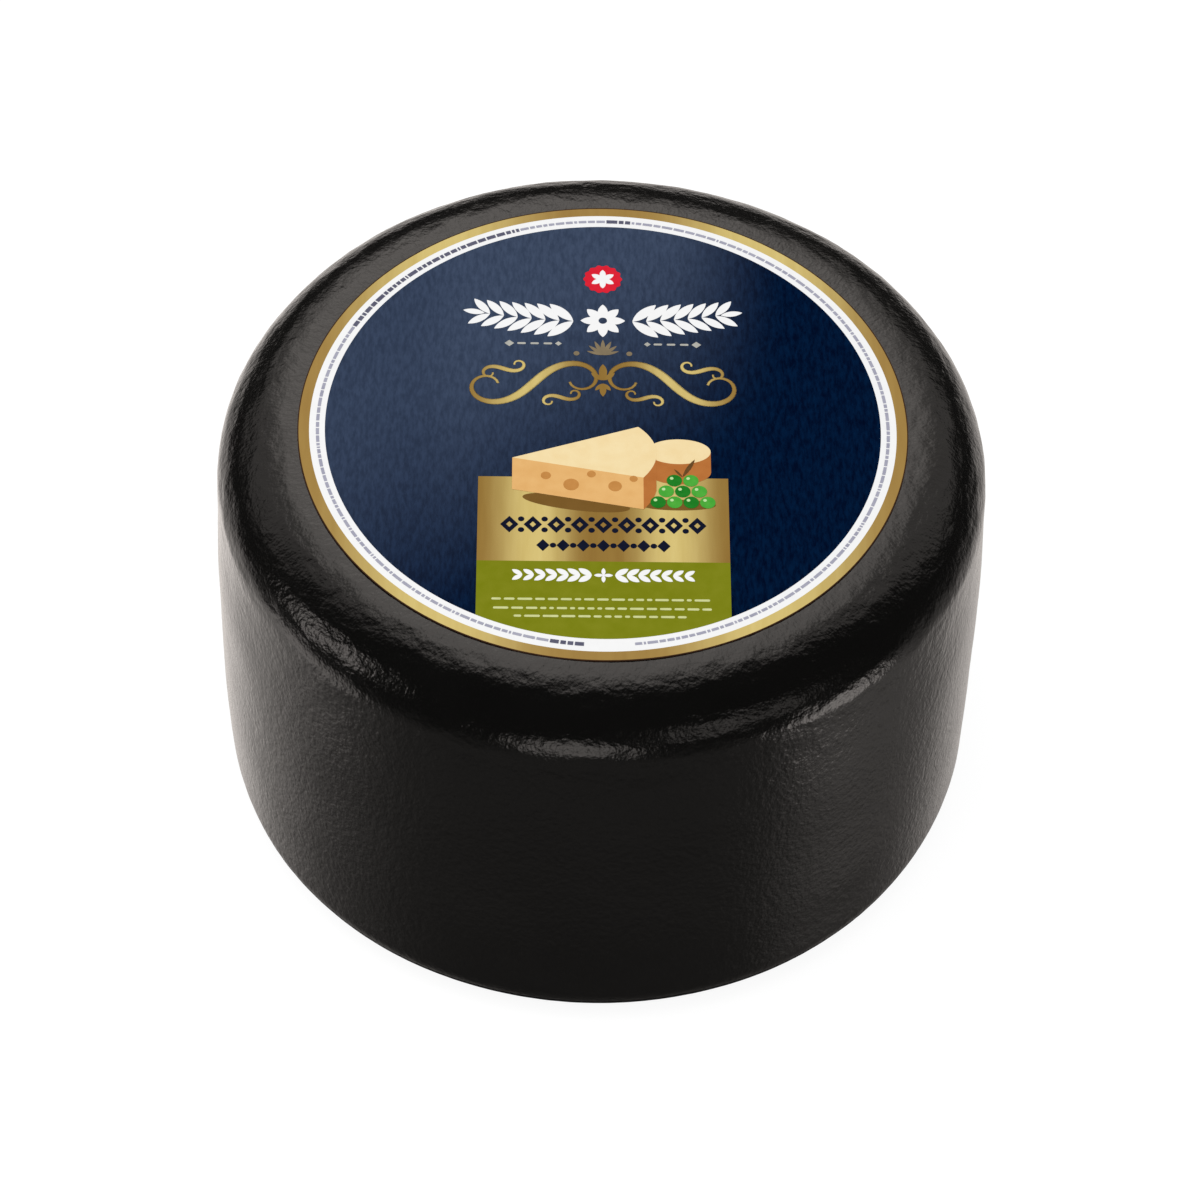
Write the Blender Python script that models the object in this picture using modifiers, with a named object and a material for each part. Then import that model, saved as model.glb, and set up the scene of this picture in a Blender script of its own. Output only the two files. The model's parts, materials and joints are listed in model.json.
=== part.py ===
# A whole wheel of hard cheese in a black coat, with a round paper label on its top face.
# Units are metres and +Z is up. The origin is at the middle of the face that the wheel rests on.
# The printed side of the label reads from -Y.

import math

import bpy

# Driving dimensions of the wheel
RIM_RADIUS = 0.116
WHEEL_HEIGHT = 1.247 * RIM_RADIUS
SHOULDER_REACH = 0.200 * RIM_RADIUS
SHOULDER_DROP = 0.170 * RIM_RADIUS
FOOT_ROUND = 0.140 * RIM_RADIUS
WALL_SWELL = 0.012 * RIM_RADIUS
FOOT_SWELL = 0.005 * RIM_RADIUS

# Where the wall has swelled out below the upper rim and where it draws in again, as shares of the wall
SWELL_REACHED = 0.35
DRAW_IN_BEGINS = 0.75

# The label
LABEL_RADIUS = 0.787 * RIM_RADIUS
LABEL_THICKNESS = 0.0003
RESTING_GAP = 0.0003

# How finely the turned shape is divided
SLICES = 144
SHOULDER_STEPS = 11
WALL_STEPS = 14
FOOT_STEPS = 6
LABEL_SIDES = 144
MERGE_DISTANCE = 0.00005

# Extra rings of points across the flat faces, as shares of the face's radius
TOP_RINGS = (0.5, 0.8)
BASE_RING = 0.6

# The wheel is not quite round: waves of (height in metres, lobes round the wheel, start in radians,
# twist in radians for each metre up the wall)
WALL_WAVES = [
    (0.00016, 2, 0.9, 0.0),
    (0.00012, 3, 2.3, 9.0),
    (0.00010, 5, 0.4, -14.0),
]
SHOULDER_WAVES = [
    (0.00025, 2, 2.6, 0.0),
    (0.00022, 3, 0.7, 0.0),
    (0.00016, 7, 1.5, 0.0),
]

# Soft hollows and swellings: (degrees round from +X, share of the height, half-width in metres, depth)
SOFT_MARKS = [
    (184.0, 0.24, 0.020, 0.0003),
    (238.0, 0.62, 0.024, -0.0005),
    (276.0, 0.36, 0.030, 0.0004),
    (318.0, 0.58, 0.022, -0.0004),
    (352.0, 0.10, 0.020, 0.0004),
    (2.0, 0.30, 0.022, -0.0004),
    (75.0, 0.45, 0.036, -0.0007),
    (128.0, 0.68, 0.028, 0.0005),
]

# Finishes: colour, roughness
COAT_FINISH = ((0.012, 0.011, 0.010, 1.0), 0.34)
LABEL_FINISH = ((0.020, 0.045, 0.110, 1.0), 0.42)


def clear_scene():
    for old in list(bpy.data.objects):
        bpy.data.objects.remove(old, do_unlink=True)


def finish(name, colour, roughness):
    material = bpy.data.materials.new(name)
    material.use_nodes = True
    surface = material.node_tree.nodes["Principled BSDF"]
    surface.inputs["Base Color"].default_value = colour
    surface.inputs["Roughness"].default_value = roughness
    surface.inputs["Metallic"].default_value = 0.0
    return material


def smooth_step(share):
    held = min(max(share, 0.0), 1.0)
    return held * held * (3.0 - 2.0 * held)


def wall_swell(share):
    """How far the wall lies outside the upper rim, at a share of the way down to the foot."""
    swelled = WALL_SWELL * smooth_step(share / SWELL_REACHED)
    drawn_in = (WALL_SWELL - FOOT_SWELL) * smooth_step((share - DRAW_IN_BEGINS) / (1.0 - DRAW_IN_BEGINS))
    return swelled - drawn_in


def meridian():
    """Half of the wheel's outline in the XZ plane, from the middle of the top to the middle of the base."""
    flat_radius = RIM_RADIUS - SHOULDER_REACH
    rim_height = WHEEL_HEIGHT - SHOULDER_DROP
    foot_radius = RIM_RADIUS + FOOT_SWELL
    points = [(0.0, WHEEL_HEIGHT)]
    points += [(share * flat_radius, WHEEL_HEIGHT) for share in TOP_RINGS]
    for step in range(SHOULDER_STEPS + 1):
        turn = 0.5 * math.pi * step / SHOULDER_STEPS
        points.append((
            flat_radius + SHOULDER_REACH * math.sin(turn),
            rim_height + SHOULDER_DROP * math.cos(turn),
        ))
    for step in range(1, WALL_STEPS):
        share = step / WALL_STEPS
        height = rim_height + (FOOT_ROUND - rim_height) * share
        points.append((RIM_RADIUS + wall_swell(share), height))
    for step in range(FOOT_STEPS + 1):
        turn = 0.5 * math.pi * step / FOOT_STEPS
        points.append((
            foot_radius - FOOT_ROUND * (1.0 - math.cos(turn)),
            FOOT_ROUND * (1.0 - math.sin(turn)),
        ))
    points.append((BASE_RING * foot_radius, 0.0))
    points.append((0.0, 0.0))
    return points


def turned(name, points):
    """A profile that the Screw modifier turns round the Z axis, as a closed mesh."""
    profile = bpy.data.meshes.new(name + "_profile")
    edges = [(i, i + 1) for i in range(len(points) - 1)]
    profile.from_pydata([(radius, 0.0, height) for radius, height in points], edges, [])
    holder = bpy.data.objects.new(name + "_profile", profile)
    bpy.context.scene.collection.objects.link(holder)
    screw = holder.modifiers.new("Turn", "SCREW")
    screw.axis = "Z"
    screw.angle = 2.0 * math.pi
    screw.steps = SLICES
    screw.render_steps = SLICES
    screw.use_merge_vertices = True
    screw.merge_threshold = MERGE_DISTANCE
    graph = bpy.context.evaluated_depsgraph_get()
    mesh = bpy.data.meshes.new_from_object(holder.evaluated_get(graph))
    mesh.name = name
    bpy.data.objects.remove(holder, do_unlink=True)
    return mesh


def waves(table, turn, height):
    """The sum of a table's waves at a place on the wheel."""
    return sum(
        size * math.sin(lobes * turn + start + twist * height)
        for size, lobes, start, twist in table
    )


def soft_marks(turn, height):
    """The sum of the soft hollows and swellings at a place on the wall."""
    moved = 0.0
    for degrees, share, spread, depth in SOFT_MARKS:
        away = math.remainder(turn - math.radians(degrees), 2.0 * math.pi) * RIM_RADIUS
        rise = height - share * WHEEL_HEIGHT
        moved += depth * math.exp(-(away * away + rise * rise) / (spread * spread))
    return moved


def settle(mesh):
    """Moves the turned points by less than 1 mm, as a pressed and aged wheel has settled."""
    flat_radius = RIM_RADIUS - SHOULDER_REACH
    for vertex in mesh.vertices:
        x, y, height = vertex.co
        radius = math.hypot(x, y)
        turn = math.atan2(y, x)
        outer = smooth_step((radius - flat_radius) / SHOULDER_REACH)
        above_base = smooth_step(height / FOOT_ROUND)
        grown = outer * (waves(WALL_WAVES, turn, height) + above_base * soft_marks(turn, height))
        if radius > 0.0:
            vertex.co.x += grown * math.cos(turn)
            vertex.co.y += grown * math.sin(turn)
        upper = smooth_step(2.0 * height / WHEEL_HEIGHT - 1.0)
        on_shoulder = math.sin(math.pi * outer)
        vertex.co.z += upper * on_shoulder * waves(SHOULDER_WAVES, turn, height)


def centre_on_axis(mesh):
    """Puts the middle of the wheel's width and depth back on the Z axis."""
    for axis in (0, 1):
        places = [vertex.co[axis] for vertex in mesh.vertices]
        middle = 0.5 * (min(places) + max(places))
        for vertex in mesh.vertices:
            vertex.co[axis] -= middle


def make_wheel(collection):
    mesh = turned("cheese_wheel", meridian())
    settle(mesh)
    centre_on_axis(mesh)
    mesh.shade_smooth()
    wheel = bpy.data.objects.new("cheese_wheel", mesh)
    collection.objects.link(wheel)
    mesh.materials.append(finish("black_coat", *COAT_FINISH))
    return wheel


def make_label(collection, wheel):
    height = WHEEL_HEIGHT + RESTING_GAP + 0.5 * LABEL_THICKNESS
    bpy.ops.mesh.primitive_cylinder_add(
        vertices=LABEL_SIDES, radius=LABEL_RADIUS, depth=LABEL_THICKNESS, location=(0.0, 0.0, height)
    )
    label = bpy.context.active_object
    label.name = "label"
    label.data.name = "label"
    for former in list(label.users_collection):
        former.objects.unlink(label)
    collection.objects.link(label)
    label.data.materials.append(finish("label_print", *LABEL_FINISH))
    label.parent = wheel
    return label


def main():
    clear_scene()
    collection = bpy.data.collections.new("cheese_wheel")
    bpy.context.scene.collection.children.link(collection)
    wheel = make_wheel(collection)
    make_label(collection, wheel)


main()
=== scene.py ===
# %% [markdown]
# # A whole wheel of cheese in a black coat
# A wheel of hard cheese is dipped in a thin black coat, which dries into fine wrinkles, and a round
# printed label is glued on its flat top. The plain wheel and the plain label are already modelled at
# their real size. This lesson loads them as a fixed frame and makes what the eye sees over them.

# %% Load the plain wheel
import json
import math
import random

import bpy
from mathutils import Matrix, Vector, noise

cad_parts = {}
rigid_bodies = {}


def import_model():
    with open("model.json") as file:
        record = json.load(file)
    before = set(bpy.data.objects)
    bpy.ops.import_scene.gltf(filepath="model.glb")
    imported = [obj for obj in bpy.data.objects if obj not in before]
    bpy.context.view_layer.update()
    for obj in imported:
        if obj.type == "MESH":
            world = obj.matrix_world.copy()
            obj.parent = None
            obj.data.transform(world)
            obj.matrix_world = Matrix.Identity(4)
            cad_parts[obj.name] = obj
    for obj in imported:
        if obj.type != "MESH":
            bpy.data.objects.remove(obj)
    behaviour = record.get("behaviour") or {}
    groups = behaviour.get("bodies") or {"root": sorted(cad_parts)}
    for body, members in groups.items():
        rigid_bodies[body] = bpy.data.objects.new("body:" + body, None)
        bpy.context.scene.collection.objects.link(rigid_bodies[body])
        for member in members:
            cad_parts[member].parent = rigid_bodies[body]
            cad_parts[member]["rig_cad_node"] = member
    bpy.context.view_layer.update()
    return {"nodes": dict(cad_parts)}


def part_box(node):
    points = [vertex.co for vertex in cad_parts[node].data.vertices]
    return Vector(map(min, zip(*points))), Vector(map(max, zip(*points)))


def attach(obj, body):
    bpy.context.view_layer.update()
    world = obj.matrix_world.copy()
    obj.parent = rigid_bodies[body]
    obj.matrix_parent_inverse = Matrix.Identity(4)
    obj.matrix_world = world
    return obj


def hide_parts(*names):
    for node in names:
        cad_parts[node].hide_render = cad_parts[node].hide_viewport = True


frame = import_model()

MM = 0.001
_, wheel_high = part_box("cheese_wheel")
label_low, label_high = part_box("label")
WHEEL_HEIGHT = wheel_high.z

# The wheel's upper rim lies a little inside its wall, which swells below it
RIM_RADIUS = 0.116
LABEL_RADIUS = 0.5 * (label_high.x - label_low.x)

# %% [markdown]
# ## The camera
# The photo looks down on the wheel from the front, at about fifty degrees, with a long lens, so that the
# wheel hardly narrows towards the back. The picture is turned by a degree and a half, because nobody
# holds a camera quite level. Lens, distance and turn were worked out from the wheel's outline.

# %% Camera
VIEW_DISTANCE = 1.45
VIEW_ELEVATION = math.radians(49.63)
VIEW_ROLL = math.radians(1.53)
PHOTO_SIDE = 1200.0
PHOTO_LENS_PIXELS = 4662.0
WHEEL_MIDDLE_PIXEL = (598.9, 581.4)
SENSOR_WIDTH = 36.0

scene = bpy.context.scene
bpy.ops.object.select_all(action="DESELECT")
bpy.ops.object.camera_add()
camera = bpy.context.object
camera.name = "photo_camera"
away = Vector((0.0, -math.cos(VIEW_ELEVATION), math.sin(VIEW_ELEVATION)))
camera.location = Vector((0.0, 0.0, 0.5 * WHEEL_HEIGHT)) + VIEW_DISTANCE * away
tilt = Matrix.Rotation(0.5 * math.pi - VIEW_ELEVATION, 3, "X")
camera.rotation_euler = (tilt @ Matrix.Rotation(VIEW_ROLL, 3, "Z")).to_euler()
camera.data.sensor_width = SENSOR_WIDTH
camera.data.lens = PHOTO_LENS_PIXELS / PHOTO_SIDE * SENSOR_WIDTH
camera.data.shift_x = 0.5 - WHEEL_MIDDLE_PIXEL[0] / PHOTO_SIDE
camera.data.shift_y = WHEEL_MIDDLE_PIXEL[1] / PHOTO_SIDE - 0.5
camera.data.clip_start = 0.05
camera.data.clip_end = 50.0
scene.camera = camera
scene.view_settings.view_transform = "Standard"
print("lens", round(camera.data.lens, 1), "mm, camera at", [round(c, 3) for c in camera.location])

# %% [markdown]
# ## Drawing materials with sums
# A material is a net of nodes, and most of them only add, multiply or compare. So one small class holds
# a socket and lets Python's own signs add the Math nodes: `1.0 - mask` is a node, and so is `a * b`.
# Any other node comes from its one method `node`, which sets the settings first and the sockets after.


# %% Sums on sockets
class Wire:
    """A socket of a material or a world. Python's signs on it add Math nodes."""

    def __init__(self, socket):
        self.socket = socket

    def feed(self, value):
        if isinstance(value, Wire):
            self.socket.id_data.links.new(value.socket, self.socket)
        else:
            self.socket.default_value = value

    def node(self, kind, settings=None, sockets=None, out=0):
        """A new node in the same net: its settings, then its sockets. Gives one of its outputs."""
        made = self.socket.id_data.nodes.new(kind)
        for name, value in (settings or {}).items():
            setattr(made, name, value)
        for name, value in (sockets or {}).items():
            Wire(made.inputs[name]).feed(value)
        return Wire(made.outputs[out])

    def math(self, operation, first, second=0.0):
        return self.node("ShaderNodeMath", {"operation": operation}, {0: first, 1: second})

    def __add__(self, other):
        return self.math("ADD", self, other)

    __radd__ = __add__

    def __sub__(self, other):
        return self.math("SUBTRACT", self, other)

    def __rsub__(self, other):
        return self.math("SUBTRACT", other, self)

    def __mul__(self, other):
        return self.math("MULTIPLY", self, other)

    __rmul__ = __mul__

    def __truediv__(self, other):
        return self.math("DIVIDE", self, other)

    def __abs__(self):
        return self.math("ABSOLUTE", self)

    def rise(self, low, high):
        """0 below low, 1 above high, and a smooth slope between. It falls where high is the smaller."""
        ends = {"Value": self, "From Min": min(low, high), "From Max": max(low, high)}
        if high < low:
            ends.update({"To Min": 1.0, "To Max": 0.0})
        return self.node("ShaderNodeMapRange", {"interpolation_type": "SMOOTHSTEP"}, ends)

    def blend(self, first, second):
        """This mask's mix of two colours: the first where it is 0, the second where it is 1."""
        sockets = {0: self, 6: first, 7: second}
        return self.node("ShaderNodeMix", {"data_type": "RGBA"}, sockets, out=2)

    def parts(self):
        """The X, Y and Z of a vector."""
        split = self.node("ShaderNodeSeparateXYZ", None, {"Vector": self}).socket.node
        return [Wire(output) for output in split.outputs]

    def stretched(self, x, y, z):
        """A vector whose X, Y and Z are multiplied by these numbers."""
        sockets = {0: self, 1: (x, y, z)}
        return self.node("ShaderNodeVectorMath", {"operation": "MULTIPLY"}, sockets)

    def speckle(self, detail=2.0, roughness=0.5):
        """Soft random spots about one unit wide, at this place, from 0 to 1."""
        sockets = {"Vector": self, "Scale": 1.0, "Detail": detail, "Roughness": roughness}
        return self.node("ShaderNodeTexNoise", None, sockets)

    def spots(self, per_metre, detail=2.0):
        """Soft random spots, so many to a metre each way, from 0 to 1."""
        return self.stretched(per_metre, per_metre, per_metre).speckle(detail)


def paint(red, green, blue):
    """A screen colour from 0 to 255 as the linear colour that Blender's sockets take."""
    linear = []
    for value in (red, green, blue):
        share = value / 255.0
        linear.append(share / 12.92 if share <= 0.04045 else ((share + 0.055) / 1.055) ** 2.4)
    return (*linear, 1.0)


def grey(brightness):
    """A linear grey."""
    return (brightness, brightness, brightness, 1.0)


def new_finish(name, values):
    """A new material and its Principled shader, with these values on the shader's sockets."""
    material = bpy.data.materials.new(name)
    material.use_nodes = True
    shader = material.node_tree.nodes["Principled BSDF"]
    for socket, value in values.items():
        shader.inputs[socket].default_value = value
    return material, shader


print("sums on sockets are ready")

# %% [markdown]
# ## Studio light
# A black glossy thing shows hardly any light of its own: what the eye sees is the studio mirrored in it.
# So the world holds soft glowing patches, each at a bearing and a height, like softboxes on stands. Only
# mirrored rays see them. Rays that light matt print see an even pale sky, with one large soft lamp above.

# %% Softboxes in the world
SKY_LIGHT = 0.74
BACKDROP_LIGHT = 1.0
WARM_WHITE = (1.0, 0.93, 0.88, 1.0)
DARK_CORNERS = 0.04

# Large patches, in degrees: left side, right side, softness of both, height at which the patch begins,
# height from which it is full, and then its strength
BACK_WALL = (-72.0, 68.0, 9.0, 15.0, 27.0, 0.55)
BRIGHT_BAR = (-24.0, 12.0, 18.0, 22.0, 38.0, 1.4)
LIT_FLOOR = (-78.0, 52.0, 18.0, -3.0, -20.0, 0.58)
SIDE_FLOOR = (-112.0, 112.0, 16.0, -4.0, -24.0, 0.17)
NEAR_FLOOR = 0.11

# Round lamps, in degrees: bearing, height, end of the full core, end of the soft edge, and then strength
ROUND_LAMPS = (
    (-22.0, -46.0, 4.0, 22.0, 0.35),
    (-5.0, 61.0, 4.0, 25.0, 1.15),
    (-106.0, 15.0, 2.0, 14.0, 2.9),
    (-96.0, -31.0, 4.0, 17.0, 1.1),
    (-175.0, -8.0, 6.0, 18.0, 1.7),
    (115.0, -29.0, 4.0, 15.0, 2.6),
    (108.0, -44.0, 3.0, 18.0, 0.14),
    (150.0, 16.0, 2.0, 12.0, 0.9),
    (132.0, 12.0, 2.0, 11.0, 0.7),
)


def direction(bearing, height):
    """A direction from a bearing (0 to the back, +90 to the right) and a height, both in degrees."""
    turn = math.radians(bearing)
    rise = math.radians(height)
    return (math.sin(turn) * math.cos(rise), math.cos(turn) * math.cos(rise), math.sin(rise))


def round_lamp(towards, bearing, height, core, edge, strength):
    """A round glow that is full out to core degrees and gone at edge degrees from its middle."""
    sockets = {0: towards, 1: direction(bearing, height)}
    nearness = towards.node("ShaderNodeVectorMath", {"operation": "DOT_PRODUCT"}, sockets, out=1)
    return strength * nearness.rise(math.cos(math.radians(edge)), math.cos(math.radians(core)))


def band(angle, low, high, soft):
    """1 between two angles and 0 outside them, with soft edges of this many degrees."""
    return angle.rise(low - soft, low + soft) * angle.rise(high + soft, high - soft)


def patch(bearing, height, left, right, soft, begins, full, strength):
    """A large soft patch between two bearings, from the height at which it begins onwards."""
    return band(bearing, left, right, soft) * height.rise(begins, full) * strength


def studio(towards):
    """How bright the studio is in each direction, for mirrored rays."""
    x, y, z = towards.parts()
    bearing = towards.math("ARCTAN2", x, y) * math.degrees(1.0)
    height = towards.math("ARCSINE", z) * math.degrees(1.0)
    dimmer_overhead = 1.0 - 0.4 * height.rise(66.0, 84.0)
    back_wall = patch(bearing, height, *BACK_WALL) * dimmer_overhead
    bright_bar = patch(bearing, height, *BRIGHT_BAR) * height.rise(52.0, 38.0)
    wide_floor = patch(bearing, height, *LIT_FLOOR) + patch(bearing, height, *SIDE_FLOOR)
    near_floor = NEAR_FLOOR * height.rise(-10.0, -40.0)
    shaded_by_wheel = 1.0 - 0.75 * height.rise(-47.0, -58.0)
    glow = DARK_CORNERS + back_wall + bright_bar + (wide_floor + near_floor) * shaded_by_wheel
    for numbers in ROUND_LAMPS:
        glow = glow + round_lamp(towards, *numbers)
    return glow


world = bpy.data.worlds.new("studio")
scene.world = world
world.use_nodes = True
world.cycles.sampling_method = "NONE"
backdrop = world.node_tree.nodes["Background"]
colour_socket = Wire(backdrop.inputs["Color"])
towards = colour_socket.node("ShaderNodeTexCoord", out="Generated")
mirrored = colour_socket.node("ShaderNodeLightPath", out="Is Glossy Ray")
seen = colour_socket.node("ShaderNodeLightPath", out="Is Camera Ray")
plain_sky = SKY_LIGHT + seen * (BACKDROP_LIGHT - SKY_LIGHT)
colour_socket.feed(mirrored.blend(grey(1.0), WARM_WHITE))
Wire(backdrop.inputs["Strength"]).feed(mirrored * studio(towards) + (1.0 - mirrored) * plain_sky)
print("world nodes:", len(world.node_tree.nodes))

# %% Soft lamp above
LAMP_SIDE = 1.1
LAMP_PLACE = (-0.35, -0.15, 1.5)
LAMP_POWER = 8.0

bpy.ops.object.light_add(type="AREA", location=LAMP_PLACE)
lamp = bpy.context.object
lamp.name = "overhead_lamp"
lamp.data.size = LAMP_SIDE
lamp.data.energy = LAMP_POWER
lamp.rotation_euler = Vector(LAMP_PLACE).to_track_quat("Z", "Y").to_euler()
lamp.visible_glossy = False
lamp.visible_camera = False
print("lamp of", LAMP_POWER, "W,", LAMP_SIDE, "m wide")

# %% [markdown]
# ## Floor
# The photo has plain white paper under the wheel. A large flat sheet does, with a trace of unevenness in
# its colour. It glows by itself, which keeps the wheel's shadow as weak as on lit paper. Mirrored rays
# don't see it, so a dark disc stands in for the shade under the wheel, or the foot would shine.

# %% Floor
FLOOR_SIDE = 12.0
FLOOR_SQUARES = 8
FLOOR_DROP = 0.02 * MM
FLOOR_GLOW = 0.90


def cloudy_grey(shader, per_metre, dark, light):
    """Gives a shader a colour of soft spots between two greys."""
    colour = Wire(shader.inputs["Base Color"])
    place = colour.node("ShaderNodeTexCoord", out="Object")
    colour.feed(place.spots(per_metre).blend(grey(dark), grey(light)))


bpy.ops.mesh.primitive_grid_add(
    x_subdivisions=FLOOR_SQUARES,
    y_subdivisions=FLOOR_SQUARES,
    size=FLOOR_SIDE,
    location=(0.0, 0.0, -FLOOR_DROP),
)
floor = bpy.context.object
floor.name = "floor"
floor.visible_glossy = False
bpy.ops.object.transform_apply(location=True, rotation=False, scale=False)
dull = {"Roughness": 0.9, "Specular IOR Level": 0.0}
glowing = {"Emission Color": grey(1.0), "Emission Strength": FLOOR_GLOW}
paper, paper_shader = new_finish("white_studio_paper", {**dull, **glowing})
cloudy_grey(paper_shader, 3.0, 0.18, 0.20)
floor.data.materials.append(paper)
print("floor", FLOOR_SIDE, "m wide")

# %% Shade under the wheel
SHADE_RADIUS = 0.115
SHADE_SIDES = 96

bpy.ops.mesh.primitive_circle_add(
    vertices=SHADE_SIDES, radius=SHADE_RADIUS, fill_type="NGON", location=(0.0, 0.0, -0.5 * FLOOR_DROP)
)
shade = bpy.context.object
shade.name = "shade_under_wheel"
bpy.ops.object.transform_apply(location=True, rotation=False, scale=False)
shade.visible_camera = False
shade.visible_diffuse = False
shade.visible_shadow = False
dusk, dusk_shader = new_finish("shaded_paper", {"Specular IOR Level": 0.0})
cloudy_grey(dusk_shader, 20.0, 0.02, 0.04)
shade.data.materials.append(dusk)
print("mirrored rays meet a dark disc under the wheel,", round(2.0 * SHADE_RADIUS / MM), "mm across")

# %% [markdown]
# ## The black coat's shape
# The coat is a skin less than a millimetre thick that dries on a slightly soft cheese, so it has low
# folds that run along the rim and shallow dents. The plain wheel's mesh is copied, its loose triangles
# are merged, and two rounds of subdivision make it fine enough for folds a few millimetres apart.

# %% A fine copy of the plain wheel
LABEL_LIFT = label_low.z - WHEEL_HEIGHT
SKIN_ROUNDS = 2
MERGE_DISTANCE = 0.01 * MM
QUAD_ANGLE = math.radians(60.0)


def set_mode(mode):
    bpy.ops.object.mode_set(mode=mode)


def deselect():
    if bpy.context.object and bpy.context.object.mode != "OBJECT":
        set_mode("OBJECT")
    bpy.ops.object.select_all(action="DESELECT")


def make_active(piece):
    deselect()
    piece.select_set(True)
    bpy.context.view_layer.objects.active = piece


def apply_modifier(piece, kind, **settings):
    make_active(piece)
    modifier = piece.modifiers.new(kind.lower(), kind)
    for name, value in settings.items():
        setattr(modifier, name, value)
    bpy.ops.object.modifier_apply(modifier=modifier.name)


def hand_over(piece, slot, *stands_for):
    """The finished piece rides with the wheel, and the plain parts it stands for are hidden. The slot is
    not used.
    """
    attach(piece, "root")
    if stands_for:
        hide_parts(*stands_for)


make_active(frame["nodes"]["cheese_wheel"])
bpy.ops.object.duplicate()
coat = bpy.context.object
coat.name = "black_coat"
coat.data.name = "black_coat"
coat.parent = None
del coat["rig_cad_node"]
coat.data.materials.clear()
set_mode("EDIT")
bpy.ops.mesh.select_all(action="SELECT")
bpy.ops.mesh.remove_doubles(threshold=MERGE_DISTANCE)
bpy.ops.mesh.tris_convert_to_quads(face_threshold=QUAD_ANGLE, shape_threshold=QUAD_ANGLE)
set_mode("OBJECT")
corners = [len(face.vertices) for face in coat.data.polygons]
print("merged copy:", corners.count(4), "quads,", corners.count(3), "triangles")
apply_modifier(coat, "SUBSURF", levels=SKIN_ROUNDS, render_levels=SKIN_ROUNDS)
print("fine copy:", len(coat.data.polygons), "faces")

# %% Folds and dents
RIM_FOLD = 0.16 * MM
SOFT_DENT = 0.16 * MM
CREASE = 0.05 * MM
FOOT_FULLNESS = 0.6 * MM

# How wide the folds, dents and creases are: twice across the wheel and then up the wall
FOLD_SIZE = (8.0 * MM, 8.0 * MM, 4.5 * MM)
DENT_SIZE = (30.0 * MM, 30.0 * MM, 22.0 * MM)
CREASE_SIZE = (3.6 * MM, 3.6 * MM, 3.6 * MM)
FINER_FOLD = 0.45
FINER_FOLD_SCALE = 2.1

# Heights: the end of the flat underside, the stretch where the foot is fullest, the end of its fullness,
# and where the folds reach their full depth
UNDERSIDE = 0.1 * MM
FULL_FROM = 5.0 * MM
FULL_TO = 7.0 * MM
FULLNESS_ENDS = 18.0 * MM
FOLDS_FROM = 12.0 * MM


def held(share):
    """A smooth step from 0 to 1."""
    share = min(max(share, 0.0), 1.0)
    return share * share * (3.0 - 2.0 * share)


def climb(value, low, high):
    """The smooth step of a value from low to high. It falls where high is the smaller."""
    return held((value - low) / (high - low))


def unrolled(place):
    """A place on the skin as a place on an upright tube: round the rim, and up the wall and inwards."""
    radius = math.hypot(place.x, place.y)
    turn = math.atan2(place.y, place.x)
    way = place.z + RIM_RADIUS - radius
    return Vector((RIM_RADIUS * math.cos(turn), RIM_RADIUS * math.sin(turn), way))


def in_sizes(skin, sizes):
    """A place on the skin, counted in these sizes."""
    return Vector([length / size for length, size in zip(skin, sizes)])


def fold_height(skin, radius, height):
    """How far the skin stands out of the smooth wheel."""
    past_label = climb(radius, 0.93 * LABEL_RADIUS, 0.99 * LABEL_RADIUS)
    past_top = climb(radius, LABEL_RADIUS, LABEL_RADIUS + 0.03 * RIM_RADIUS)
    near_rim = past_top * held(2.6 * height / WHEEL_HEIGHT - 1.5)
    along = in_sizes(skin, FOLD_SIZE)
    fold = noise.noise(along) + FINER_FOLD * noise.noise(FINER_FOLD_SCALE * along)
    dent = noise.noise(in_sizes(skin, DENT_SIZE))
    crease = noise.noise(in_sizes(skin, CREASE_SIZE))
    return past_label * (RIM_FOLD * near_rim * fold + SOFT_DENT * dent + CREASE * crease)


def fullness(height):
    """How far the foot stands out of the smooth wheel."""
    return FOOT_FULLNESS * climb(height, 0.0, FULL_FROM) * climb(height, FULLNESS_ENDS, FULL_TO)


def label_lift(radius, height):
    """How far the coat rises to meet the label: all the way at the top, and nothing at the foot."""
    inwards = climb(radius, 1.2 * RIM_RADIUS, 0.9 * RIM_RADIUS)
    return LABEL_LIFT * inwards * climb(height, 0.0, WHEEL_HEIGHT)


mesh = coat.data
skin_places = mesh.attributes.new("skin", "FLOAT_VECTOR", "POINT")
normals = [vertex.normal.copy() for vertex in mesh.vertices]
for vertex in mesh.vertices:
    height = vertex.co.z
    radius = math.hypot(vertex.co.x, vertex.co.y)
    skin = unrolled(vertex.co)
    skin_places.data[vertex.index].vector = skin
    folded = 0.0 if height < UNDERSIDE else fold_height(skin, radius, height)
    moved = folded * climb(height, 0.0, FOLDS_FROM) + fullness(height)
    vertex.co += normals[vertex.index] * moved
    vertex.co.z += label_lift(radius, height)
make_active(coat)
bpy.ops.object.shade_smooth()
print("coat top", round(max(vertex.co.z for vertex in mesh.vertices) / MM, 2), "mm")

# %% [markdown]
# ## The black coat's finish
# The coat is black all through, so its colour hardly varies and its gloss does the work. It dries like
# orange peel: wrinkles two to three millimetres apart, with a finer grain between them. They are at most
# a quarter of a millimetre deep, enough to fray the edge of every reflection and break lamps into specks.

# %% Coat finish
COAT_GLOSS = 0.14
WRINKLE_DEPTH = 0.24 * MM
WRINKLE_SHARE = 0.68
DEEP_BLACK = (0.0016, 0.0016, 0.0015, 1.0)
WORN_BLACK = (0.0028, 0.0027, 0.0025, 1.0)

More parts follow.
